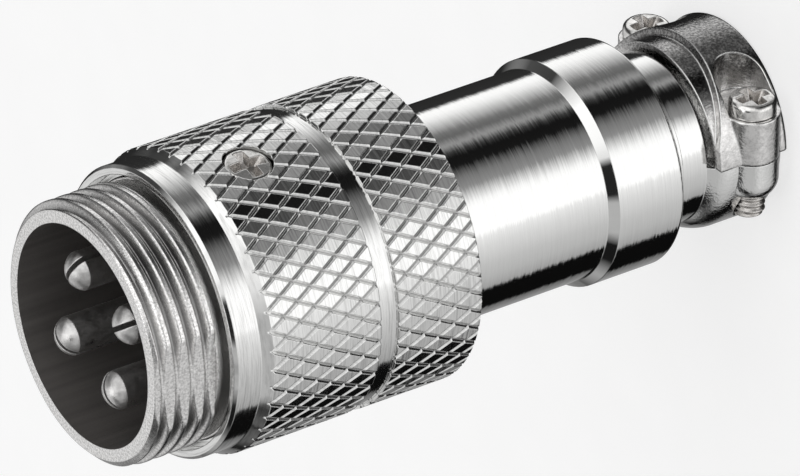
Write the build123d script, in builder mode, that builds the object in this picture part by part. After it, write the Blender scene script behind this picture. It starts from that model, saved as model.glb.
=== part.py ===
"""Four-pin microphone plug with a threaded nose, a knurled sleeve and a two-screw cable clamp.

The plug stands on its clamp with its nose up. The origin is the centre of the nose's front rim, and
+Z runs out of the nose. Depths are measured down from that rim, heights in the clamp from the plug's
axis towards -Y, where the clamp screws have their heads, and angles from +X towards +Y. All lengths
are in millimetres.
"""

import os
from math import ceil, cos, radians, sin, tan

from build123d import *

# Fits between pieces
slide_clearance = 0.05
screw_clearance = 0.04
seat_gap = 0.05

# Threaded nose and its tail, the turned shell that holds the contacts
thread_radius = 8.0
thread_length = 4.1
thread_pitch = 1.0
thread_depth = 0.54
thread_crest = 0.2
thread_root = 0.12
thread_facets = 36
nose_chamfer = 0.48
nose_wall = 1.24
cavity_depth = 8.0
relief_cut = 0.25
relief_length = 1.3
tail_step = 0.1
tail_length = 7.2
flat_cut = 0.5
flat_angle = 180

# Contact block
insulator_ledge = 0.34
insulator_edge_chamfer = 0.3

# Contact pins, by the angle at which each one stands and the angle of its slot
pin_radius = 1.17
pin_circle_radius = 3.58
pin_tip_setback = 0.3
pin_dome_height = 0.8
pin_angles = (302, 212, 122, 32)
slot_angles = (66, 36, 127, 142)
slot_width = 0.3
slot_length = 5.0
cup_length = 4.0
cup_bore_radius = 0.8
cup_bore_depth = 2.8

# Knurled sleeve, from its front collar to its rear rim
collar_setback = 0.52
sleeve_wall = 1.3
collar_drop = 0.4
collar_length = 1.8
collar_edge = 0.2
ramp_length = 0.8
front_band_length = 7.23
groove_width = 1.25
groove_depth = 0.17
rear_band_length = 5.85
sleeve_rear_round = 0.3
mouth_step = 0.33
mouth_depth = 0.9
shoulder_length = 2.05

# Diamond knurl: crossed helical V grooves between flat-topped diamonds
knurl_count = 48
knurl_row_pitch = 1.06
knurl_depth = 0.13
knurl_groove_half_width = 0.16

# Set screw, by its distance behind the knurl's front and its angle round the sleeve
set_screw_setback = 3.04
set_screw_angle = 259
set_screw_radius = 1.46
set_screw_sink = 0.12
set_screw_recess_depth = 0.6

# Rear barrel
barrel_radius = 6.51
barrel_length = 10.95
barrel_wall = 0.91
ring_height = 0.5
ring_length = 5.2
ring_rear_round = 0.25
neck_drop = 1.21
neck_wall = 0.9
neck_web = 1.3
neck_step = 0.08
neck_step_length = 1.1
neck_length = 2.85
head_gap = 0.05

# Cable clamp
clamp_length = 5.35
clamp_flare = 0.75
clamp_flare_length = 1.75
saddle_proud = 0.2
parting_height = 0.4
cable_radius = 3.3
cable_grip_length = 3.7
cable_lead_in = 0.95
clamp_screw_setback = 2.1
clamp_screw_wall = 1.0
lug_wall = 0.75
lug_bottom = -2.35
lug_round = 1.3
clamp_rear_round = 1.0
saddle_front_overhang = 0.25
saddle_front_lean = 19.4
saddle_edge_round = 0.4
saddle_lip_gap = 0.35
saddle_lip_drop = 0.45
saddle_boss_top = 3.3
pocket_clearance = 0.23
pocket_reach = 1.2

# Clamp screws
clamp_screw_radius = 0.95
clamp_screw_head_radius = 1.45
clamp_screw_head_height = 1.0
clamp_screw_head_round = 0.4
clamp_screw_reach = 1.15
clamp_screw_recess_depth = 0.65
clamp_hole_clearance = 0.1

# Cross recess of every screw
recess_arm_width = 0.42
recess_span_share = 0.68
recess_taper = 12

nose_bore_radius = thread_radius - nose_wall
insulator_radius = nose_bore_radius + insulator_ledge
tail_radius = thread_radius - tail_step
tail_front = thread_length + relief_length
shell_length = tail_front + tail_length
pin_end = shell_length + cup_length

sleeve_bore_radius = tail_radius + slide_clearance
knurl_radius = sleeve_bore_radius + sleeve_wall
collar_radius = knurl_radius - collar_drop
groove_radius = knurl_radius - groove_depth
sleeve_front = thread_length + collar_setback
collar_rear = sleeve_front + collar_length
knurl_front = collar_rear + ramp_length
groove_front = knurl_front + front_band_length
groove_rear = groove_front + groove_width
sleeve_rear = groove_rear + rear_band_length
shoulder_depth = sleeve_rear - shoulder_length
mouth_rear = sleeve_front + mouth_depth

ring_front = sleeve_rear + barrel_length
ring_rear = ring_front + ring_length
ring_radius = barrel_radius + ring_height
neck_radius = barrel_radius - neck_drop
neck_cut = ring_rear + neck_length
clamp_rear = neck_cut + clamp_length
head_front = shell_length + head_gap
head_rear = shoulder_depth - seat_gap
wiring_bore_radius = barrel_radius - barrel_wall
wiring_bore_rear = ring_rear - neck_web
neck_bore_radius = neck_radius - neck_wall
grip_front = clamp_rear - cable_grip_length

lower_half_radius = neck_radius + clamp_flare
clamp_radius = lower_half_radius + saddle_proud
clamp_screw_depth = clamp_rear - clamp_screw_setback
clamp_screw_offset = cable_radius + clamp_screw_wall + clamp_screw_radius
lug_radius = clamp_screw_radius + lug_wall

# Sketch plane along the plug, with depth as x and radius as y
section = Plane(origin=(0, 0, 0), x_dir=(0, 0, -1), z_dir=(0, -1, 0))

os.makedirs("parts", exist_ok=True)


def across(depth):
    """Plane across the plug at a depth below the nose's rim."""
    return Plane.XY.offset(-depth)


def at_height(height):
    """Plane across the clamp screws at a height, facing their heads, with x and the nose's way as y."""
    return Plane.XZ.offset(height)


def outwards(angle):
    """Direction out from the plug's axis at an angle."""
    return Vector(cos(radians(angle)), sin(radians(angle)), 0)


def facing_out(depth, radius, angle):
    """Plane at a place round the plug's axis, facing outwards, with its own x along the plug."""
    place = outwards(angle) * radius - Vector(0, 0, depth)
    return Plane(origin=place, x_dir=(0, 0, -1), z_dir=outwards(angle))


def finish(part, name):
    """Name a finished piece and write it to its own file."""
    part.label = name
    export_step(part, f"parts/{name}.step")


def threaded_blank():
    """Solid bar that overreaches the nose at both ends, with one right-hand helical ridge round it.

    Its foot in front, its two crest edges and its foot behind follow the helix in steps, from the
    deepest turn up to the nose. The last step's feet and the first one's lie on one upright line.
    """
    root_radius = thread_radius - thread_depth
    flank = (thread_pitch - thread_crest - thread_root) / 2
    outline = (
        (0, root_radius),
        (flank, thread_radius),
        (flank + thread_crest, thread_radius),
        (flank + thread_crest + flank, root_radius),
    )
    turn_count = ceil(thread_length / thread_pitch) + 2
    step_count = turn_count * thread_facets
    lowest = thread_length + thread_pitch

    def place(step, depth, radius):
        """Point on a step's upright line."""
        return outwards(360 * step / thread_facets) * radius - Vector(0, 0, depth)

    ridge = []
    for step in range(step_count + 1):
        start = lowest - step * thread_pitch / thread_facets
        ridge.append([place(step, start + along, radius) for along, radius in outline])
    fronts = [points[0] for points in ridge]
    rears = [points[-1] for points in ridge]
    below = [place(step, lowest + 2 * thread_pitch, root_radius) for step in range(thread_facets)]
    above = [place(step, -3 * thread_pitch, root_radius) for step in range(thread_facets)]
    skin = [ridge[0], ridge[-1], below, above]
    for this, following in zip(ridge, ridge[1:]):
        skin.append((this[0], this[1], following[1]))
        skin.append((this[0], following[1], following[0]))
        skin.append((this[1], this[2], following[2], following[1]))
        skin.append((this[2], this[3], following[3]))
        skin.append((this[2], following[3], following[2]))
    for step in range(step_count - thread_facets):
        turned = step + thread_facets
        skin.append((rears[turned], fronts[step], fronts[step + 1], rears[turned + 1]))
    for step in range(thread_facets):
        last = step_count - thread_facets + step
        over = (step + 1) % thread_facets
        seam_below = (fronts[0], rears[0]) if over == 0 else ()
        seam_above = (rears[-1], fronts[-1]) if step == 0 else ()
        skin.append((rears[step], rears[step + 1], *seam_below, below[over], below[step]))
        skin.append((fronts[last + 1], fronts[last], *seam_above, above[step], above[over]))
    return Solid(Shell([Face(Wire.make_polygon(points, close=True)) for points in skin]))


# Threaded shell: bore, thread and rim in front, contact seat behind, a flat across the thread
with BuildPart() as threaded_shell:
    with BuildSketch(section):
        with BuildLine():
            Polyline(
                (0, nose_bore_radius),
                (0, thread_radius - nose_chamfer),
                (2 * nose_chamfer, thread_radius + nose_chamfer),
                (thread_length, thread_radius + nose_chamfer),
                (thread_length, nose_bore_radius),
                close=True,
            )
        make_face()
    revolve(axis=Axis.Z)
    add(threaded_blank(), mode=Mode.INTERSECT)
    with BuildSketch(facing_out(thread_length / 2, thread_radius - flat_cut, flat_angle)):
        Rectangle(thread_length, 2 * thread_radius)
    extrude(amount=2 * flat_cut, mode=Mode.SUBTRACT)
    with BuildSketch(section):
        with BuildLine():
            Polyline(
                (thread_length, nose_bore_radius),
                (thread_length, thread_radius - relief_cut),
                (tail_front, thread_radius - relief_cut),
                (tail_front, tail_radius),
                (shell_length, tail_radius),
                (shell_length, insulator_radius + slide_clearance),
                (cavity_depth, insulator_radius + slide_clearance),
                (cavity_depth, nose_bore_radius),
                close=True,
            )
        make_face()
    revolve(axis=Axis.Z)
finish(threaded_shell.part, "threaded_shell")


# Insulator: disc seated against the shell's inner shoulder, bored for the pins
with BuildPart() as insulator:
    with BuildSketch(across(shell_length)):
        Circle(insulator_radius)
        with PolarLocations(pin_circle_radius, len(pin_angles), start_angle=pin_angles[0]):
            Circle(pin_radius, mode=Mode.SUBTRACT)
    extrude(amount=shell_length - cavity_depth)
    chamfer(
        insulator.edges().filter_by(GeomType.CIRCLE).sort_by(SortBy.RADIUS)[-1],
        length=insulator_edge_chamfer,
    )
finish(insulator.part, "insulator")


# Contact pins: split, domed pin in front of the block and a solder cup behind it
dome_base = pin_tip_setback + pin_dome_height
dome_radius = (pin_radius**2 + pin_dome_height**2) / (2 * pin_dome_height)
for number, (pin_angle, slot_angle) in enumerate(zip(pin_angles, slot_angles), start=1):
    with BuildPart() as contact_pin:
        with BuildSketch(section):
            with BuildLine():
                RadiusArc((pin_tip_setback, 0), (dome_base, pin_radius), dome_radius)
                Polyline(
                    (dome_base, pin_radius),
                    (pin_end, pin_radius),
                    (pin_end, cup_bore_radius),
                    (pin_end - cup_bore_depth, cup_bore_radius),
                    (pin_end - cup_bore_depth, 0),
                    (pin_tip_setback, 0),
                )
            make_face()
        revolve(axis=Axis.Z)
        with BuildSketch(across(pin_tip_setback + slot_length)):
            Rectangle(3 * pin_radius, slot_width, rotation=slot_angle)
        extrude(amount=slot_length, mode=Mode.SUBTRACT)
        with BuildSketch(facing_out(pin_end - cup_bore_depth / 2, 0, pin_angle)):
            Rectangle(cup_bore_depth, 2 * cup_bore_radius)
        extrude(amount=2 * pin_radius, mode=Mode.SUBTRACT)
    contact_pin.part = contact_pin.part.translate(outwards(pin_angle) * pin_circle_radius)
    finish(contact_pin.part, f"contact_pin_{number}")


def knurled_blank():
    """Solid bar wider than the sleeve's profile, whose skin is the knurl and whose ends are plain prisms.

    The grooves' crossings lie in rows across the bar, each row turned half a step from the last. A
    diamond spans the crossings in front of, behind, left and right of it, and has a flat top.
    """
    root_radius = knurl_radius - knurl_depth
    half_step = radians(180 / knurl_count)
    front_crossing = Vector(0, root_radius, knurl_row_pitch)
    side_crossing = Vector(root_radius * sin(half_step), root_radius * cos(half_step), 0)
    side_corner = Vector(side_crossing.X - knurl_groove_half_width, knurl_radius, 0)
    wall = (side_crossing - front_crossing).cross(side_corner - front_crossing)
    front_corner = Vector(0, knurl_radius, (wall.dot(front_crossing) - wall.Y * knurl_radius) / wall.Z)

    # The diamond's top, as front, left, back and right corners, and the crossings outside them
    mirrored = ((front_corner, front_crossing), (side_corner, side_crossing))
    (front, front_foot), (right, right_foot) = mirrored
    (back, back_foot), (left, left_foot) = (
        (Vector(-p.X, p.Y, -p.Z), Vector(-q.X, q.Y, -q.Z)) for p, q in mirrored
    )
    corners = (front, left, back, right)
    feet = (front_foot, left_foot, back_foot, right_foot)
    facets = [corners] + [
        (feet[i], feet[(i + 1) % 4], corners[(i + 1) % 4], corners[i]) for i in range(4)
    ]

    def facet(points, row, turn):
        """One flat facet of the skin, at a row's depth and turned round the bar."""
        drop = Vector(0, 0, first_row + row * knurl_row_pitch)
        return Face(Wire.make_polygon([p.rotate(Axis.Z, turn) - drop for p in points], close=True))

    first_row = collar_rear - knurl_row_pitch / 2
    row_count = ceil((sleeve_rear - first_row) / knurl_row_pitch) + 1
    ends = ((0, back_foot, sleeve_front - first_row - 1), (row_count, front_foot, knurl_row_pitch))
    skin = []
    for row in range(1, row_count):
        for copy in range(knurl_count):
            turn = (copy + row % 2 / 2) * 360 / knurl_count
            skin += [facet(points, row, turn) for points in facets]
    for row, foot, reach in ends:
        turns = [(copy + row % 2 / 2) * 360 / knurl_count for copy in range(knurl_count)]
        out = Vector(0, 0, -reach)
        for turn in turns:
            skin.append(facet((left_foot, right_foot, foot), row, turn))
            skin.append(facet((left_foot, right_foot, right_foot + out, left_foot + out), row, turn))
        rim = [(right_foot + out).rotate(Axis.Z, turn) for turn in turns]
        skin.append(facet(rim, row, 0))
    return Solid(Shell(skin))


# Knurled sleeve: collar, ramp, knurled bands and groove outside, one bore and a shoulder inside
with BuildPart() as knurled_sleeve:
    with BuildSketch(section):
        with BuildLine():
            Polyline(
                (sleeve_front, sleeve_bore_radius + mouth_step),
                (sleeve_front, collar_radius - collar_edge),
                (sleeve_front + collar_edge, collar_radius),
                (collar_rear, collar_radius),
                (knurl_front, knurl_radius + knurl_depth),
                (groove_front, knurl_radius + knurl_depth),
                (groove_front, groove_radius),
                (groove_rear, groove_radius),
                (groove_rear, knurl_radius + knurl_depth),
                (sleeve_rear, knurl_radius + knurl_depth),
                (sleeve_rear, barrel_radius + slide_clearance),
                (shoulder_depth, barrel_radius + slide_clearance),
                (shoulder_depth, sleeve_bore_radius),
                (mouth_rear, sleeve_bore_radius),
                (mouth_rear, sleeve_bore_radius + mouth_step),
                close=True,
            )
        make_face()
    revolve(axis=Axis.Z)
    rear_edges = knurled_sleeve.edges().filter_by(GeomType.CIRCLE).group_by(Axis.Z)[0]
    fillet(rear_edges.sort_by(SortBy.RADIUS)[-1], radius=sleeve_rear_round)
    with BuildSketch(facing_out(knurl_front + set_screw_setback, 0, set_screw_angle)):
        Circle(set_screw_radius + screw_clearance)
    extrude(amount=2 * knurl_radius, mode=Mode.SUBTRACT)
    add(knurled_blank(), mode=Mode.INTERSECT)
finish(knurled_sleeve.part, "knurled_sleeve")


# Set screw: flat tip on the shell's tail, cross recess just under the knurl
set_screw_depth = knurl_front + set_screw_setback
set_screw_top = facing_out(set_screw_depth, knurl_radius - set_screw_sink, set_screw_angle)
with BuildPart() as set_screw:
    with BuildSketch(facing_out(set_screw_depth, sleeve_bore_radius, set_screw_angle)):
        Circle(set_screw_radius)
    extrude(amount=sleeve_wall - set_screw_sink)
    with BuildSketch(set_screw_top):
        Rectangle(2 * set_screw_radius * recess_span_share, recess_arm_width)
        Rectangle(recess_arm_width, 2 * set_screw_radius * recess_span_share)
    extrude(amount=-set_screw_recess_depth, taper=recess_taper, mode=Mode.SUBTRACT)
finish(set_screw.part, "set_screw")


# Rear barrel: head, barrel, ring and neck, and the lower half of the clamp with its lugs
neck_step_rear = ring_rear + neck_step_length
flare_rear = neck_cut + clamp_flare_length
flare_round = (clamp_flare_length**2 + clamp_flare**2) / (2 * clamp_flare)
with BuildPart() as rear_barrel:
    with BuildSketch(section):
        with BuildLine():
            Polyline(
                (head_front, wiring_bore_radius),
                (head_front, tail_radius),
                (head_rear, tail_radius),
                (head_rear, barrel_radius),
                (ring_front, barrel_radius),
                (ring_front + ring_height, ring_radius),
                (ring_rear, ring_radius),
                (ring_rear, neck_radius + neck_step),
                (neck_step_rear, neck_radius + neck_step),
                (neck_step_rear, neck_radius),
                (neck_cut, neck_radius),
            )
            RadiusArc((neck_cut, neck_radius), (flare_rear, lower_half_radius), flare_round)
            Polyline(
                (flare_rear, lower_half_radius),
                (clamp_rear, lower_half_radius),
                (clamp_rear, cable_radius),
                (grip_front, cable_radius),
                (grip_front - cable_lead_in, neck_bore_radius),
                (wiring_bore_rear, neck_bore_radius),
                (wiring_bore_rear, wiring_bore_radius),
                (head_front, wiring_bore_radius),
            )
        make_face()
    revolve(axis=Axis.Z)
    round_edges = rear_barrel.edges().filter_by(GeomType.CIRCLE)
    ring_edges = round_edges.filter_by(lambda edge: abs(edge.radius - ring_radius) < 0.01)
    fillet(ring_edges.sort_by(Axis.Z)[0], radius=ring_rear_round)
    fillet(
        rear_barrel.edges().filter_by(GeomType.CIRCLE).group_by(Axis.Z)[0].sort_by(SortBy.RADIUS)[-1],
        radius=clamp_rear_round,
    )
    with BuildSketch(at_height(parting_height)):
        with Locations((0, -neck_cut - clamp_length)):
            Rectangle(4 * clamp_radius, 2 * clamp_length)
    extrude(amount=2 * clamp_radius, mode=Mode.SUBTRACT)
    for offset in (-clamp_screw_offset, clamp_screw_offset):
        with BuildSketch(Plane(origin=(offset, 0, -clamp_screw_depth), x_dir=(1, 0, 0), z_dir=(0, 0, 1))):
            with BuildLine():
                Line((0, -lug_bottom), (lug_radius - lug_round, -lug_bottom))
                RadiusArc(
                    (lug_radius - lug_round, -lug_bottom), (lug_radius, -lug_bottom - lug_round), lug_round
                )
                Polyline(
                    (lug_radius, -lug_bottom - lug_round),
                    (lug_radius, -parting_height),
                    (0, -parting_height),
                    (0, -lug_bottom),
                )
            make_face()
        revolve(axis=Axis((offset, 0, -clamp_screw_depth), (0, 1, 0)))
    with BuildSketch(at_height(parting_height)):
        with Locations(
            (-clamp_screw_offset, -clamp_screw_depth), (clamp_screw_offset, -clamp_screw_depth)
        ):
            Circle(clamp_screw_radius + screw_clearance)
    extrude(amount=-2 * clamp_radius, mode=Mode.SUBTRACT)
finish(rear_barrel.part, "rear_barrel")


# Clamp saddle: upper half of the clamp, with a lip in front, a boss and a pocket for each screw
saddle_bottom = parting_height + seat_gap
saddle_front = neck_cut - saddle_front_overhang
lip_front = neck_cut + saddle_lip_gap
lip_radius = clamp_radius - saddle_lip_drop
pocket_radius = clamp_screw_head_radius + pocket_clearance
pocket_offset = clamp_screw_offset - pocket_reach / 2
front_face = Plane(
    origin=(0, 0, -saddle_front), x_dir=(1, 0, 0), z_dir=(0, -tan(radians(saddle_front_lean)), 1)
)

# What is cut away in front of the saddle's leaning face, outside its lip
with BuildPart() as saddle_front_cut:
    with BuildSketch(section):
        with BuildLine():
            Polyline(
                (saddle_front - cable_radius, lip_radius),
                (saddle_front - cable_radius, 2 * clamp_radius),
                (clamp_rear, 2 * clamp_radius),
                (clamp_rear, lip_radius),
                close=True,
            )
        make_face()
    revolve(axis=Axis.Z)
    split(bisect_by=front_face, keep=Keep.TOP)

with BuildPart() as clamp_saddle:
    with BuildSketch(section):
        with BuildLine():
            Polyline(
                (lip_front, neck_bore_radius),
                (lip_front, clamp_radius),
                (clamp_rear, clamp_radius),
                (clamp_rear, cable_radius),
                (grip_front, cable_radius),
                (grip_front - cable_lead_in, neck_bore_radius),
                close=True,
            )
        make_face()
    revolve(axis=Axis.Z)
    fillet(
        clamp_saddle.edges().filter_by(GeomType.CIRCLE).group_by(Axis.Z)[0].sort_by(SortBy.RADIUS)[-1],
        radius=saddle_edge_round,
    )
    add(saddle_front_cut.part, mode=Mode.SUBTRACT)
    with BuildSketch(at_height(saddle_bottom)):
        with Locations((0, -clamp_rear)):
            Rectangle(4 * clamp_radius, 4 * clamp_length)
    extrude(amount=-2 * clamp_radius, mode=Mode.SUBTRACT)
    with BuildSketch(at_height(saddle_bottom)):
        with Locations(
            (-clamp_screw_offset, -clamp_screw_depth), (clamp_screw_offset, -clamp_screw_depth)
        ):
            Circle(lug_radius)
    extrude(amount=saddle_boss_top - saddle_bottom)
    with BuildSketch(at_height(saddle_boss_top)):
        with Locations((-pocket_offset, -clamp_screw_depth), (pocket_offset, -clamp_screw_depth)):
            SlotCenterToCenter(pocket_reach, 2 * pocket_radius)
    extrude(amount=clamp_radius, mode=Mode.SUBTRACT)
    with BuildSketch(at_height(saddle_bottom)):
        with Locations(
            (-clamp_screw_offset, -clamp_screw_depth), (clamp_screw_offset, -clamp_screw_depth)
        ):
            Circle(clamp_screw_radius + clamp_hole_clearance)
    extrude(amount=clamp_radius, mode=Mode.SUBTRACT)
finish(clamp_saddle.part, "clamp_saddle")


# Clamp screws: cheese head with a cross recess, shank through the saddle and out of the lug
head_top = saddle_boss_top + clamp_screw_head_height
screw_tip = lug_bottom - clamp_screw_reach
for name, offset in (("clamp_screw_left", -clamp_screw_offset), ("clamp_screw_right", clamp_screw_offset)):
    with BuildPart() as clamp_screw:
        with BuildSketch(at_height(screw_tip)):
            with Locations((offset, -clamp_screw_depth)):
                Circle(clamp_screw_radius)
        extrude(amount=saddle_boss_top - screw_tip)
        with BuildSketch(at_height(saddle_boss_top)):
            with Locations((offset, -clamp_screw_depth)):
                Circle(clamp_screw_head_radius)
        extrude(amount=clamp_screw_head_height)
        fillet(clamp_screw.edges().sort_by(Axis.Y)[0], radius=clamp_screw_head_round)
        with BuildSketch(at_height(head_top)):
            with Locations((offset, -clamp_screw_depth)):
                Rectangle(2 * clamp_screw_head_radius * recess_span_share, recess_arm_width)
                Rectangle(recess_arm_width, 2 * clamp_screw_head_radius * recess_span_share)
        extrude(amount=-clamp_screw_recess_depth, taper=recess_taper, mode=Mode.SUBTRACT)
    finish(clamp_screw.part, name)
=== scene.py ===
import math

import bmesh
import bpy
from mathutils import Matrix, Vector


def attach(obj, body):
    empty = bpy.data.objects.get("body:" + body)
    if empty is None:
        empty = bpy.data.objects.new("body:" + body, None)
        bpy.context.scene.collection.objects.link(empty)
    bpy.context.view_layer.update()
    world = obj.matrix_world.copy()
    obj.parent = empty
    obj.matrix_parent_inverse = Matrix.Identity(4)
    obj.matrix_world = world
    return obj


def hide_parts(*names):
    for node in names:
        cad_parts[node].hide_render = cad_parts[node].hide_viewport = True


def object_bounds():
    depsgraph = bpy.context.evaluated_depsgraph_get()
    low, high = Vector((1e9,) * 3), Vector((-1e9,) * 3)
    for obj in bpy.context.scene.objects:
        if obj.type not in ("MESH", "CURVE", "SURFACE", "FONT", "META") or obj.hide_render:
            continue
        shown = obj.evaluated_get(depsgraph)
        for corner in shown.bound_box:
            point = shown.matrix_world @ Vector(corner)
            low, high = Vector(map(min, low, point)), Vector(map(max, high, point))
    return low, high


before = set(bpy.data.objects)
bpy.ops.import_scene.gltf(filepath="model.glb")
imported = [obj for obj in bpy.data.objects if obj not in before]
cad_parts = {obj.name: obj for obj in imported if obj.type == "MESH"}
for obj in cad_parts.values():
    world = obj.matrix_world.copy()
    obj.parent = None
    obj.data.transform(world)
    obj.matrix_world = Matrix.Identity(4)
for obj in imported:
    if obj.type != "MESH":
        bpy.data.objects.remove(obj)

cad_low, cad_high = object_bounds()
MM = 0.001

# The camera, fitted to the round edges in the photograph, in the plug's own frame
PICTURE_WIDTH = 800
FOCAL_LENGTH_PX = 9618.3
SENSOR_WIDTH = 36.0
CAMERA_RIGHT = Vector((-0.57427, -0.01063, -0.81860))
CAMERA_UP = Vector((0.42366, -0.85947, -0.28604))
CAMERA_PLACE = Vector((-393.03, -285.88, 257.23)) * MM
CAMERA_REACH = (0.05, 5.0)

# The studio is only a world, far away. Round the plug, its brightness goes by the angle in degrees round
# the axis, from +X towards -Y. Past the level drop, the tilt turns the panels towards the clamp end
STUDIO = (
    (-180, 1.2), (-176, 0.95), (-166, 0.8), (-144, 0.6), (-128, 0.52), (-112, 0.38),
    (-111, 0.004), (-76, 0.004), (-73, 0.15), (-62, 0.24), (-42, 0.36), (-34, 0.3),
    (-32, 0.02), (16, 0.03), (22, 1.15), (32, 1.1), (40, 0.92), (48, 0.65), (62, 0.2),
    (70, 0.14), (80, 0.34), (88, 0.05), (94, 0.008), (106, 0.01), (118, 0.2), (130, 0.3),
    (137, 0.65), (146, 1.1), (152, 1.2),
)
STUDIO_TILT = 0.35
STUDIO_LEVEL_DROP = 0.5

# The same for the part in front of the nose, with a bright end straight ahead and one dark patch. Edges
# are the cosines between which one part passes over into the next
STUDIO_FRONT = (
    (-180, 0.5), (-125, 0.5), (-114, 0.01), (-98, 0.01), (-82, 0.5), (-52, 0.74), (-15, 0.74),
    (15, 0.08), (42, 0.05), (62, 0.8), (80, 1.25), (130, 1.1), (155, 0.85), (176, 0.5),
)
STUDIO_FRONT_EDGES = (-0.35, 0.15)
AHEAD_LEVEL = 1.5
AHEAD_EDGES = (-0.97, -0.9)
PATCH_LEVEL = 0.02
PATCH_WAY = Vector((-0.54, -0.01, 0.84)).normalized()
PATCH_EDGES = (0.966, 0.986)

# The dark part straight behind the clamp end, which the rear edges reflect
BEHIND_LEVEL = 0.02
BEHIND_EDGES = (0.82, 0.9)

# The threaded shell's sizes, in millimetres, with its thread cut as a real helix. The start is a share
# of a turn, and the two shares are of the pitch
THREAD_CREST = 8.0
THREAD_DEPTH = 0.54
THREAD_PITCH = 1.0
THREAD_START = 0.54
THREAD_LENGTH = 4.1
THREAD_FADE = 0.5
THREAD_CREST_SHARE = 0.2
THREAD_ROOT_SHARE = 0.12
THREAD_STEP = 0.05
THREAD_COLUMNS = 288
NOSE_BORE = 6.76
NOSE_CHAMFER = 0.48
FLAT_DISTANCE = 7.5
RELIEF_RADIUS = 7.75
TAIL_FRONT = 5.4
TAIL_RADIUS = 7.9
SHELL_LENGTH = 12.6
SEAT_BORE = 7.15
CAVITY_DEPTH = 8.0

# Edges of the new pieces sharper than this angle in degrees stay sharp, and points nearer together than
# this many metres become one
SHARP_ANGLE = 32
WELD = 0.0000005

# The screws, in millimetres. Heights are along each screw's axis from the plug's axis, dome is how far the
# top falls to its rim, and head and shank are radii
CLAMP_SCREW_SIDE = 5.25
CLAMP_SCREW_DEPTH = 43.8
CLAMP_SCREW = {
    "top": 4.3, "dome": 0.06, "round": 0.35, "head": 1.45, "under": 3.33, "shank": 0.95,
    "thread_top": -1.9, "tip": -3.5, "recess": 0.65,
}
SET_SCREW_DEPTH = 10.26
SET_SCREW_ANGLE = 259
SET_SCREW = {
    "top": 9.13, "dome": 0.1, "round": 0.24, "head": 1.46, "under": 8.2, "shank": 1.42,
    "thread_top": 8.15, "tip": 7.95, "recess": 0.6,
}
SCREW_PITCH = 0.4
SCREW_GROOVE = 0.16
SCREW_COLUMNS = 144
SCREW_ROUND_STEPS = 5

# The cross recess: half an arm's width in millimetres, its reach as a share of the head's flat top, and
# its floor as a share of that reach
RECESS_ARM = 0.36
RECESS_SPAN = 0.96
RECESS_FLOOR = 0.55

# Where the clamp begins along the plug, how far out its lugs begin, how softly both fade in, and between
# which heights the saddle's crown and screw pockets take their painted shade, in millimetres
CLAMP_FRONT = 40.4
LUG_EDGE = 3.7
CLAMP_BLEND = 0.3
CROWN_SHADE_TOP = 4.6
CROWN_SHADE_FOOT = 3.4

# The clamp's casting: lumps per metre and their height in metres
CAST_LUMPS = 6000
CAST_DEPTH = 0.00002

# The turning marks: how many there are in a metre across the plug, how much finer the darkest lines are,
# the stretch of the noise that each of them uses, and the cosines that make an end face
SWAY_ACROSS = 160
LINES_ACROSS = 400
LINES_FINER = 1.3
SWAY_RANGE = (0.2, 0.8)
LINES_RANGE = (0.45, 0.75)
FACE_LINES_RANGE = (0.5, 0.62)
FACE_RANGE = (0.9, 0.98)

# A casting's stains, and the specks that break up the painted shade high on the saddle: the stains' fineness
# as a share of its lumps', the stretch of the noise that each of them uses, and how strong the specks are at
# least
STAIN_FINENESS = 0.35
STAIN_RANGE = (0.4, 0.65)
SPECKS_RANGE = (0.4, 0.6)
SPECKS_LEAST = 0.5

# The painted shade at the bottom of the nose thread: its radii, the depth where it starts and how near the
# flat it comes, in millimetres
GROOVE_RADII = (7.5, 7.85)
GROOVE_START = (-0.5, -0.25)
GROOVE_FLAT = (-7.45, -7.2)

# The knurl: the radii between which its grooves take a painted shade, its front, and the middle and half the
# width of the smooth groove between its bands, in millimetres
KNURL_RADII = (9.14, 9.2)
KNURL_FRONT = 7.25
KNURL_GROOVE_MIDDLE = 15.075
KNURL_GROOVE_HALF = 0.65

# The moulded plastic: grains in a metre and their depth in metres, and streaks across and along it
PLASTIC_GRAINS = 9000
PLASTIC_DEPTH = 0.00001
PLASTIC_STREAKS = (1500, 1500, 60)

# How far turned edges are rounded and how deep the turning marks are, in metres, and the cosines between
# which an edge takes its painted highlight
EDGE_ROUND = 0.00008
TURNING_DEPTH = 0.000002
EDGE_HIGHLIGHT_COSINES = (0.75, 0.98)

# The floor: its width in metres, its glow, its palest colour, the share of it in the darkest grain, the
# grains in a metre and its roughness
FLOOR_SIZE = 1.6
FLOOR_GLOW = 0.6
FLOOR_COLOUR = 0.5
FLOOR_DARKEST = 0.97
FLOOR_GRAINS = 300
FLOOR_ROUGHNESS = 0.9


def new_material(name):
    """An empty node material and its principled shader."""
    material = bpy.data.materials.new(name)
    material.use_nodes = True
    return material, material.node_tree.nodes["Principled BSDF"]


def add_node(tree, kind, inputs=None, **settings):
    """A node with its settings, its input values and its links, given as sockets."""
    node = tree.nodes.new(kind)
    for key, value in settings.items():
        setattr(node, key, value)
    for key, value in (inputs or {}).items():
        if isinstance(value, bpy.types.NodeSocket):
            tree.links.new(value, node.inputs[key])
        else:
            node.inputs[key].default_value = value
    return node


def place_of(tree):
    """The point on the piece in its own frame, in metres."""
    return add_node(tree, "ShaderNodeTexCoord").outputs["Object"]


def object_point(tree, scale):
    """The point on the piece, scaled per metre along each axis."""
    inputs = {"Vector": place_of(tree), "Scale": scale}
    return add_node(tree, "ShaderNodeMapping", inputs).outputs["Vector"]


def noise(tree, vector, detail=2.0, roughness=0.5):
    """Noise from 0 to 1 at the given point."""
    inputs = {"Vector": vector, "Scale": 1.0, "Detail": detail, "Roughness": roughness}
    return add_node(tree, "ShaderNodeTexNoise", inputs).outputs["Fac"]


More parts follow.
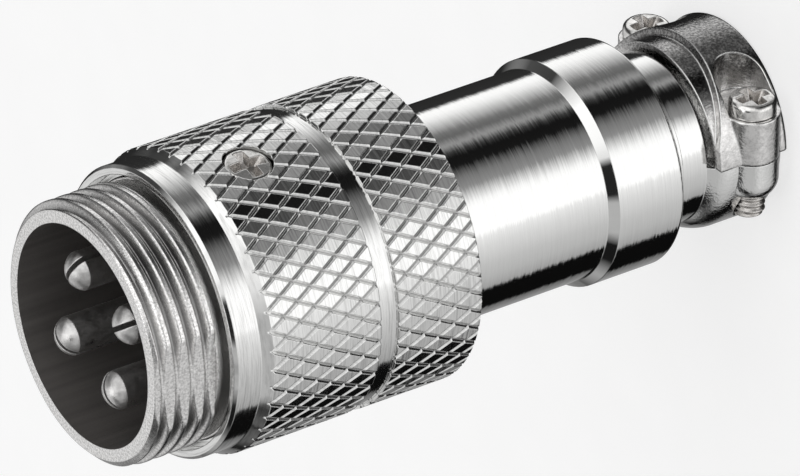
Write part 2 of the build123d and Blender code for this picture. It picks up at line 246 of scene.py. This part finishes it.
def spread(tree, value, low, high, start=0.3, end=0.7):
    """A value stretched from start and end to two levels, and held at them beyond."""
    inputs = {"Value": value, "From Min": start, "From Max": end, "To Min": low, "To Max": high}
    return add_node(tree, "ShaderNodeMapRange", inputs).outputs["Result"]


def bump(tree, height, distance, normal=None):
    """A bumped normal; distance is in metres."""
    inputs = {"Height": height, "Distance": distance, "Strength": 1.0}
    if normal is not None:
        inputs["Normal"] = normal
    return add_node(tree, "ShaderNodeBump", inputs).outputs["Normal"]


def maths(tree, operation, *values):
    """The result of one sum on numbers or sockets."""
    return add_node(tree, "ShaderNodeMath", dict(enumerate(values)), operation=operation).outputs[0]


def blend_of(tree, factor, first, second):
    """A colour between two, each three numbers or a socket."""
    ends = [end if isinstance(end, bpy.types.NodeSocket) else (*end, 1) for end in (first, second)]
    mix = add_node(tree, "ShaderNodeMix", {"Factor": factor, 6: ends[0], 7: ends[1]}, data_type="RGBA")
    return mix.outputs[2]


def vectors(tree, operation, *values):
    """The vector that one sum on vectors gives."""
    return add_node(tree, "ShaderNodeVectorMath", dict(enumerate(values)), operation=operation).outputs[0]


def measure(tree, operation, *values):
    """The number that one sum on vectors gives."""
    node = add_node(tree, "ShaderNodeVectorMath", dict(enumerate(values)), operation=operation)
    return node.outputs["Value"]


def faded(colour, share):
    """A share of a colour."""
    return tuple(part * share for part in colour)


def in_metres(levels):
    """Sizes in millimetres as metres."""
    return [level * MM for level in levels]


def parts_of(tree, vector):
    """A vector's parts by their axes' names."""
    return add_node(tree, "ShaderNodeSeparateXYZ", {0: vector}).outputs


def from_axis(tree):
    """The distance of the point on the piece from the plug's axis."""
    return measure(tree, "LENGTH", vectors(tree, "MULTIPLY", place_of(tree), (1, 1, 0)))


def rounded_normal(tree, radius):
    """The normal, rounded over at edges."""
    return add_node(tree, "ShaderNodeBevel", {"Radius": radius}, samples=8).outputs["Normal"]


def edge_nearness(tree, rounded):
    """How near an edge the point lies, from 0 to 1, by the lean of its rounded normal."""
    flat = add_node(tree, "ShaderNodeNewGeometry").outputs["Normal"]
    return spread(tree, measure(tree, "DOT_PRODUCT", rounded, flat), 1.0, 0.0, *EDGE_HIGHLIGHT_COSINES)


def turning(tree, across, along):
    """Noise drawn out round the plug, on its sides and on its end faces alike."""
    parts = parts_of(tree, place_of(tree))
    reach = maths(tree, "MULTIPLY", maths(tree, "ADD", parts["Z"], from_axis(tree)), along)
    side = maths(tree, "MULTIPLY", parts["X"], across)
    lift = maths(tree, "MULTIPLY", parts["Y"], across)
    point = add_node(tree, "ShaderNodeCombineXYZ", {"X": side, "Y": lift, "Z": reach}).outputs[0]
    return noise(tree, point, detail=3.0, roughness=0.7)


def on_lugs(tree):
    """Where the clamp's lugs are, from 0 to 1."""
    parts = parts_of(tree, place_of(tree))
    side = maths(tree, "ABSOLUTE", parts["X"])
    on_side = spread(tree, side, 0.0, 1.0, *in_metres((LUG_EDGE, LUG_EDGE + CLAMP_BLEND)))
    clamp_edges = in_metres((-CLAMP_FRONT - CLAMP_BLEND, -CLAMP_FRONT))
    return maths(tree, "MULTIPLY", on_side, spread(tree, parts["Z"], 1.0, 0.0, *clamp_edges))


def in_knurl_grooves(tree):
    """Where the bottoms of the knurl's grooves are, from 0 to 1."""
    height = parts_of(tree, place_of(tree))["Z"]
    from_middle = maths(tree, "ABSOLUTE", maths(tree, "ADD", height, KNURL_GROOVE_MIDDLE * MM))
    in_bands = maths(
        tree, "MULTIPLY", maths(tree, "GREATER_THAN", from_middle, KNURL_GROOVE_HALF * MM),
        maths(tree, "LESS_THAN", height, -KNURL_FRONT * MM),
    )
    deep = spread(tree, from_axis(tree), 1.0, 0.0, *in_metres(KNURL_RADII))
    return maths(tree, "MULTIPLY", deep, in_bands)


def in_thread_grooves(tree):
    """Where the bottoms of the nose thread's grooves are, from 0 to 1."""
    parts = parts_of(tree, place_of(tree))
    deep = spread(tree, from_axis(tree), 1.0, 0.0, *in_metres(GROOVE_RADII))
    behind_rim = spread(tree, parts["Z"], 1.0, 0.0, *in_metres(GROOVE_START))
    off_flat = spread(tree, parts["X"], 0.0, 1.0, *in_metres(GROOVE_FLAT))
    return maths(tree, "MULTIPLY", maths(tree, "MULTIPLY", deep, behind_rim), off_flat)


def turned_metal(name, colour, roughness, sway, marks, line_share, face_lines=None, cast_lugs=False,
                 knurl_shade_share=None):
    """Bright plate over turning marks that run round the plug and fray the edges of reflections.

    sway is how far the marks swing the normal round the plug, marks how many there are in a metre, and
    line_share how dark the finest ones are; face_lines is the same on the end faces; cast_lugs leaves the
    clamp's lugs as cast; knurl_shade_share is the share of the colour left at the bottom of the knurl's
    grooves, a painted shade.
    """
    material, shader = new_material(name)
    tree = material.node_tree
    normal = rounded_normal(tree, EDGE_ROUND)
    around = vectors(tree, "CROSS_PRODUCT", (0, 0, -1), normal)
    swing = spread(tree, turning(tree, SWAY_ACROSS, marks), -sway, sway, *SWAY_RANGE)
    lean = add_node(tree, "ShaderNodeVectorMath", {0: around, "Scale": swing}, operation="SCALE").outputs[0]
    leaning = vectors(tree, "NORMALIZE", vectors(tree, "ADD", normal, lean))
    lines = turning(tree, LINES_ACROSS, marks * LINES_FINER)
    line_colour = faded(colour, 1 - line_share)
    tone = blend_of(tree, spread(tree, lines, 0.0, 1.0, *LINES_RANGE), colour, line_colour)
    if face_lines:
        facing_up = spread(tree, parts_of(tree, normal)["Z"], 0.0, 1.0, *FACE_RANGE)
        on_face = maths(tree, "MULTIPLY", facing_up, spread(tree, lines, 0.0, 1.0, *FACE_LINES_RANGE))
        tone = blend_of(tree, on_face, tone, faded(colour, 1 - face_lines))
    # painted shade at the bottom of the knurl's grooves
    if knurl_shade_share:
        tone = blend_of(tree, in_knurl_grooves(tree), tone, faded(colour, knurl_shade_share))
    tree.links.new(tone, shader.inputs["Base Color"])
    shader.inputs["Metallic"].default_value = 1.0
    tree.links.new(spread(tree, lines, roughness * 0.7, roughness * 1.4), shader.inputs["Roughness"])
    finish = bump(tree, lines, TURNING_DEPTH, leaning)
    if cast_lugs:
        lumps = noise(tree, object_point(tree, (CAST_LUMPS,) * 3), detail=3.0, roughness=0.6)
        cast = bump(tree, lumps, CAST_DEPTH, normal)
        inputs = {"Factor": on_lugs(tree), 4: finish, 5: cast}
        mix = add_node(tree, "ShaderNodeMix", inputs, data_type="VECTOR")
        finish = vectors(tree, "NORMALIZE", mix.outputs[1])
    tree.links.new(finish, shader.inputs["Normal"])
    return material


def cast_metal(name, colour, roughness, grain, depth, dark=0.72, edge_round=0.0001, edge_highlight_colour=None,
               crown_shade_share=None, groove_shade_share=None):
    """Plate over a slightly pitted casting; grain is the size of its lumps and depth their height, in metres.

    dark is the share of the colour left in its stains; edge_highlight_colour is the paler colour that edges
    are given, a painted highlight; crown_shade_share is the share left high up on the saddle and in its screw
    pockets, a painted dark reflection on the crown and painted shade in the pockets, broken into specks;
    groove_shade_share is the share left at the bottom of the nose thread, beside its flat, a painted shade.
    """
    material, shader = new_material(name)
    tree = material.node_tree
    normal = rounded_normal(tree, edge_round)
    lumps = noise(tree, object_point(tree, (1 / grain,) * 3), detail=3.0, roughness=0.6)
    stain = noise(tree, object_point(tree, (STAIN_FINENESS / grain,) * 3), detail=4.0, roughness=0.7)
    tone = blend_of(tree, spread(tree, stain, 0.0, 1.0, *STAIN_RANGE), colour, faded(colour, dark))
    # painted shade: high up on the saddle the colour is darkened in specks, a painted dark reflection on the
    # crown and painted shade in the screw pockets
    if crown_shade_share:
        height = parts_of(tree, place_of(tree))["Y"]
        high = spread(tree, height, 1.0, 0.0, *in_metres((-CROWN_SHADE_TOP, -CROWN_SHADE_FOOT)))
        specks = spread(tree, lumps, SPECKS_LEAST, 1.0, *SPECKS_RANGE)
        tone = blend_of(tree, maths(tree, "MULTIPLY", high, specks), tone, faded(colour, crown_shade_share))
    # painted shade at the bottom of the nose thread's grooves
    if groove_shade_share:
        tone = blend_of(tree, in_thread_grooves(tree), tone, faded(colour, groove_shade_share))
    # painted highlight: a paler colour along the edges
    if edge_highlight_colour:
        tone = blend_of(tree, edge_nearness(tree, normal), tone, edge_highlight_colour)
    tree.links.new(tone, shader.inputs["Base Color"])
    shader.inputs["Metallic"].default_value = 1.0
    tree.links.new(spread(tree, stain, roughness * 0.8, roughness * 1.6), shader.inputs["Roughness"])
    tree.links.new(bump(tree, lumps, depth, normal), shader.inputs["Normal"])
    return material


def moulded_plastic(name, colour, roughness):
    """Dark moulded plastic with a fine uneven sheen and streaks along the plug."""
    material, shader = new_material(name)
    tree = material.node_tree
    grain = noise(tree, object_point(tree, (PLASTIC_GRAINS,) * 3), detail=3.0)
    streaks = noise(tree, object_point(tree, PLASTIC_STREAKS), detail=3.0)
    tone = blend_of(tree, spread(tree, streaks, 0.0, 1.0), faded(colour, 0.8), faded(colour, 1.2))
    tree.links.new(tone, shader.inputs["Base Color"])
    tree.links.new(spread(tree, grain, roughness * 0.8, roughness * 1.2), shader.inputs["Roughness"])
    tree.links.new(bump(tree, grain, PLASTIC_DEPTH), shader.inputs["Normal"])
    return material


def dress(node, material):
    """Gives a CAD node one material."""
    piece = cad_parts[node]
    piece.data.materials.clear()
    piece.data.materials.append(material)


def lathe(name, columns, place, body, node, finishes, finish_of):
    """A closed mesh from one outline per angle, standing for a CAD node and moving with its body.

    columns holds the outlines, each a list of (height, radius) points in millimetres; place turns a
    height, a radius and an angle into a point; finish_of picks a finish from an outline's edge number.
    """
    count = len(columns)
    size = len(columns[0])
    points = []
    for number, outline in enumerate(columns):
        angle = 2 * math.pi * number / count
        points += [place(height, radius, angle) * MM for height, radius in outline]
    faces = []
    kinds = []
    for number in range(count):
        here = number * size
        there = (number + 1) % count * size
        for edge in range(size):
            after = (edge + 1) % size
            faces.append((here + edge, here + after, there + after, there + edge))
            kinds.append(finish_of(edge))
    mesh = bpy.data.meshes.new(name)
    mesh.from_pydata(points, [], faces)
    for finish in finishes:
        mesh.materials.append(finish)
    mesh.polygons.foreach_set("material_index", kinds)
    mesh.polygons.foreach_set("use_smooth", [True] * len(faces))
    shape = bmesh.new()
    shape.from_mesh(mesh)
    bmesh.ops.remove_doubles(shape, verts=shape.verts, dist=WELD)
    bmesh.ops.recalc_face_normals(shape, faces=shape.faces)
    shape.to_mesh(mesh)
    shape.free()
    mesh.set_sharp_from_angle(angle=math.radians(SHARP_ANGLE))
    piece = bpy.data.objects.new(name, mesh)
    bpy.context.collection.objects.link(piece)
    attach(piece, body)
    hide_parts(node)


def thread_rise(turns):
    """Height of the thread's ridge from 0 to 1, for a place in turns of its pitch."""
    from_crest = abs((turns + 0.5) % 1.0 - 0.5) * 2
    slope = (from_crest - THREAD_CREST_SHARE) / (1 - THREAD_CREST_SHARE - THREAD_ROOT_SHARE)
    ramp = min(max(slope, 0.0), 1.0)
    return 1.0 - ramp * ramp * (3 - 2 * ramp)


def thread_outline(angle):
    """The threaded shell's outline at one angle, from the nose's bore over the thread to its seat."""
    steps = round(THREAD_LENGTH / THREAD_STEP)
    outline = [(0.0, NOSE_BORE)]
    for step in range(steps + 1):
        depth = THREAD_LENGTH * step / steps
        rise = thread_rise(depth / THREAD_PITCH + angle / (2 * math.pi) - THREAD_START)
        fade = min(max((depth - THREAD_LENGTH + THREAD_FADE) / THREAD_FADE, 0.0), 1.0)
        radius = THREAD_CREST - THREAD_DEPTH * (1 - rise) * (1 - fade)
        radius = min(radius, THREAD_CREST - NOSE_CHAMFER + depth)
        if radius * math.cos(angle) < -FLAT_DISTANCE:
            radius = -FLAT_DISTANCE / math.cos(angle)
        outline.append((depth, radius))
    outline += [
        (THREAD_LENGTH, RELIEF_RADIUS), (TAIL_FRONT, RELIEF_RADIUS), (TAIL_FRONT, TAIL_RADIUS),
        (SHELL_LENGTH, TAIL_RADIUS), (SHELL_LENGTH, SEAT_BORE), (CAVITY_DEPTH, SEAT_BORE),
        (CAVITY_DEPTH, NOSE_BORE),
    ]
    return outline


def in_nose(depth, radius, angle):
    """A point of the threaded shell, in millimetres."""
    return Vector((radius * math.cos(angle), radius * math.sin(angle), -depth))


def screw_outline(screw, angle):
    """A screw's outline at one angle, from the middle of its cross recess to the middle of its tip."""
    from_arm = abs((angle + math.pi / 4) % (math.pi / 2) - math.pi / 4)
    rim = screw["head"] - screw["round"]
    reach = RECESS_SPAN * rim
    if math.sin(from_arm) * reach > RECESS_ARM:
        reach = RECESS_ARM / math.sin(from_arm)
    floor = screw["top"] - screw["recess"]
    fall = screw["dome"] * (reach / rim) ** 2
    outline = [(floor, 0.0), (floor, reach * RECESS_FLOOR), (screw["top"] - fall, reach)]
    edge = screw["top"] - screw["dome"] - screw["round"]
    for step in range(SCREW_ROUND_STEPS + 1):
        turn = math.pi / 2 * (1 - step / SCREW_ROUND_STEPS)
        outline.append((edge + screw["round"] * math.sin(turn), rim + screw["round"] * math.cos(turn)))
    outline += [(screw["under"], screw["head"]), (screw["under"], screw["shank"])]
    length = screw["thread_top"] - screw["tip"]
    steps = round(length / THREAD_STEP)
    for step in range(steps + 1):
        height = screw["thread_top"] - length * step / steps
        ridge = 0.5 + 0.5 * math.cos(2 * math.pi * height / SCREW_PITCH + angle)
        outline.append((height, screw["shank"] - SCREW_GROOVE * ridge))
    outline.append((screw["tip"], 0.0))
    return outline


def make_screw(name, node, screw, centre, axis, across):
    """A screw with its recess and its thread; centre is on the plug's axis line, across is one arm's way."""
    third = axis.cross(across)

    def place(height, radius, angle):
        return centre + axis * height + (across * math.cos(angle) + third * math.sin(angle)) * radius

    turns = [2 * math.pi * number / SCREW_COLUMNS for number in range(SCREW_COLUMNS)]
    outlines = [screw_outline(screw, turn) for turn in turns]
    head_edges = len(outlines[0]) - round((screw["thread_top"] - screw["tip"]) / THREAD_STEP) - 2
    # the cross recess, the thread and the tip take the darker colour, painted shade in the recess
    lathe(
        name, outlines, place, node, node, (screw_finish, shaded_recess_and_thread),
        lambda edge: 0 if 1 < edge < head_edges else 1,
    )


def make_floor():
    """A pale floor under the plug that shows white and keeps a soft shadow."""
    mesh = bpy.data.meshes.new("floor")
    half = FLOOR_SIZE / 2
    corners = ((-half, -half), (half, -half), (half, half), (-half, half))
    mesh.from_pydata([(x, y, cad_low.z) for x, y in corners], [], [(0, 1, 2, 3)])
    floor = bpy.data.objects.new("floor", mesh)
    bpy.context.collection.objects.link(floor)
    floor.visible_glossy = False
    floor.visible_shadow = False
    material, shader = new_material("floor_paint")
    tree = material.node_tree
    grain = noise(tree, object_point(tree, (FLOOR_GRAINS,) * 3))
    shade = spread(tree, grain, FLOOR_COLOUR * FLOOR_DARKEST, FLOOR_COLOUR)
    colour = add_node(tree, "ShaderNodeCombineColor", {"Red": shade, "Green": shade, "Blue": shade})
    tree.links.new(colour.outputs["Color"], shader.inputs["Base Color"])
    shader.inputs["Roughness"].default_value = FLOOR_ROUGHNESS
    shader.inputs["Specular IOR Level"].default_value = 0.0
    shader.inputs["Emission Color"].default_value = (1, 1, 1, 1)
    shader.inputs["Emission Strength"].default_value = FLOOR_GLOW
    mesh.materials.append(material)


def panel_ramp(tree, angle, panels):
    """The studio's brightness by an angle in radians, from pairs of degrees and level."""
    inputs = {"Value": angle, "From Min": -math.pi, "From Max": math.pi}
    turn = add_node(tree, "ShaderNodeMapRange", inputs).outputs["Result"]
    ramp = add_node(tree, "ShaderNodeValToRGB", {0: turn})
    stops = ramp.color_ramp.elements
    while len(stops) > 1:
        stops.remove(stops[-1])
    for number, (degrees, level) in enumerate(panels):
        stop = stops[0] if number == 0 else stops.new((degrees + 180) / 360)
        stop.position = (degrees + 180) / 360
        stop.color = (level, level, level, 1)
    return ramp.outputs["Color"]


def studio_ahead(tree, way, angle, behind):
    """The part of the studio in front of the nose: panels, a bright end and a dark patch."""
    straight = spread(tree, behind, 1.0, 0.0, *AHEAD_EDGES)
    panels = blend_of(tree, straight, panel_ramp(tree, angle, STUDIO_FRONT), (AHEAD_LEVEL,) * 3)
    in_patch = spread(tree, measure(tree, "DOT_PRODUCT", way, PATCH_WAY), 0.0, 1.0, *PATCH_EDGES)
    return blend_of(tree, in_patch, panels, (PATCH_LEVEL,) * 3)


def studio_round(tree, angle, behind):
    """The part of the studio round the plug: long panels along it, and a dark end behind the clamp."""
    along = maths(tree, "SUBTRACT", behind, STUDIO_LEVEL_DROP)
    panels = panel_ramp(tree, maths(tree, "MULTIPLY_ADD", along, STUDIO_TILT, angle), STUDIO)
    return blend_of(tree, spread(tree, behind, 0.0, 1.0, *BEHIND_EDGES), panels, (BEHIND_LEVEL,) * 3)


def make_studio():
    """The world: the studio for light and reflections, and plain white for the camera."""
    world = bpy.data.worlds.new("studio")
    bpy.context.scene.world = world
    world.use_nodes = True
    tree = world.node_tree
    tree.nodes.clear()
    way = add_node(tree, "ShaderNodeTexCoord").outputs["Generated"]
    parts = parts_of(tree, way)
    behind = maths(tree, "MULTIPLY", parts["Z"], -1.0)
    angle = maths(tree, "ARCTAN2", maths(tree, "MULTIPLY", parts["Y"], -1.0), parts["X"])
    inputs = {"Value": behind, "From Min": STUDIO_FRONT_EDGES[0], "From Max": STUDIO_FRONT_EDGES[1]}
    passing = add_node(tree, "ShaderNodeMapRange", inputs, interpolation_type="SMOOTHSTEP")
    studio = blend_of(
        tree, passing.outputs["Result"], studio_ahead(tree, way, angle, behind),
        studio_round(tree, angle, behind),
    )
    seen = add_node(tree, "ShaderNodeLightPath").outputs["Is Camera Ray"]
    shown = blend_of(tree, seen, studio, (1, 1, 1))
    glow = add_node(tree, "ShaderNodeBackground", {"Color": shown, "Strength": 1.0})
    out = add_node(tree, "ShaderNodeOutputWorld")
    tree.links.new(glow.outputs[0], out.inputs["Surface"])


def make_camera():
    """The camera at the photograph's place."""
    data = bpy.data.cameras.new("camera")
    data.sensor_width = SENSOR_WIDTH
    data.lens = SENSOR_WIDTH * FOCAL_LENGTH_PX / PICTURE_WIDTH
    data.clip_start, data.clip_end = CAMERA_REACH
    camera = bpy.data.objects.new("camera", data)
    bpy.context.collection.objects.link(camera)
    back = CAMERA_RIGHT.cross(CAMERA_UP)
    turn = Matrix((CAMERA_RIGHT, CAMERA_UP, back)).transposed()
    camera.matrix_world = Matrix.Translation(CAMERA_PLACE) @ turn.to_4x4()
    bpy.context.scene.camera = camera


NICKEL = (0.86, 0.86, 0.85)
barrel_finish = turned_metal(
    "barrel_finish", NICKEL, roughness=0.05, sway=0.045, marks=12000, line_share=0.05, face_lines=0.5,
    cast_lugs=True,
)
sleeve_finish = turned_metal(
    "sleeve_finish", NICKEL, roughness=0.09, sway=0.03, marks=7000, line_share=0.35, knurl_shade_share=0.6
)
thread_finish = cast_metal(
    "thread_finish", (0.96, 0.95, 0.94), roughness=0.14, grain=0.00005, depth=0.00001, dark=0.6,
    groove_shade_share=0.3,
)
clamp_finish = cast_metal(
    "clamp_finish", (0.84, 0.83, 0.82), roughness=0.08, grain=0.00016, depth=0.00002, dark=0.7,
    edge_round=0.0002, edge_highlight_colour=(0.95, 0.95, 0.94), crown_shade_share=0.2,
)
pin_finish = cast_metal("pin_finish", (0.8, 0.79, 0.78), roughness=0.32, grain=0.0003, depth=0.00002)
screw_finish = cast_metal(
    "screw_finish", (0.88, 0.87, 0.85), roughness=0.12, grain=0.0002, depth=0.00001, dark=0.75
)
# painted shade: a darker colour in the screws' cross recesses, also given to their threads and tips
shaded_recess_and_thread = cast_metal(
    "shaded_recess_and_thread", (0.7, 0.675, 0.65), roughness=0.22, grain=0.00012, depth=0.00002, dark=0.6
)
insulator_finish = moulded_plastic("insulator_finish", (0.05, 0.044, 0.04), roughness=0.5)
bore_finish = moulded_plastic("bore_finish", (0.1, 0.093, 0.088), roughness=0.5)

columns = [thread_outline(2 * math.pi * number / THREAD_COLUMNS) for number in range(THREAD_COLUMNS)]
bore_edge = len(columns[0]) - 1
lathe(
    "threaded_nose", columns, in_nose, "contact_insert", "threaded_shell",
    (thread_finish, bore_finish), lambda edge: 1 if edge == bore_edge else 0,
)
towards_heads = Vector((0, -1, 0))
for side, way in (("right", 1), ("left", -1)):
    make_screw(
        f"{side}_clamp_screw", f"clamp_screw_{side}", CLAMP_SCREW,
        Vector((way * CLAMP_SCREW_SIDE, 0, -CLAMP_SCREW_DEPTH)), towards_heads, Vector((1, 0, 0)),
    )
turn = math.radians(SET_SCREW_ANGLE)
make_screw(
    "small_set_screw", "set_screw", SET_SCREW, Vector((0, 0, -SET_SCREW_DEPTH)),
    Vector((math.cos(turn), math.sin(turn), 0)), Vector((0, 0, 1)),
)

dress("insulator", insulator_finish)
for number in range(1, 5):
    dress(f"contact_pin_{number}", pin_finish)
dress("knurled_sleeve", sleeve_finish)
dress("rear_barrel", barrel_finish)
dress("clamp_saddle", clamp_finish)

make_floor()
make_studio()
make_camera()
bpy.context.scene.view_settings.view_transform = "Standard"
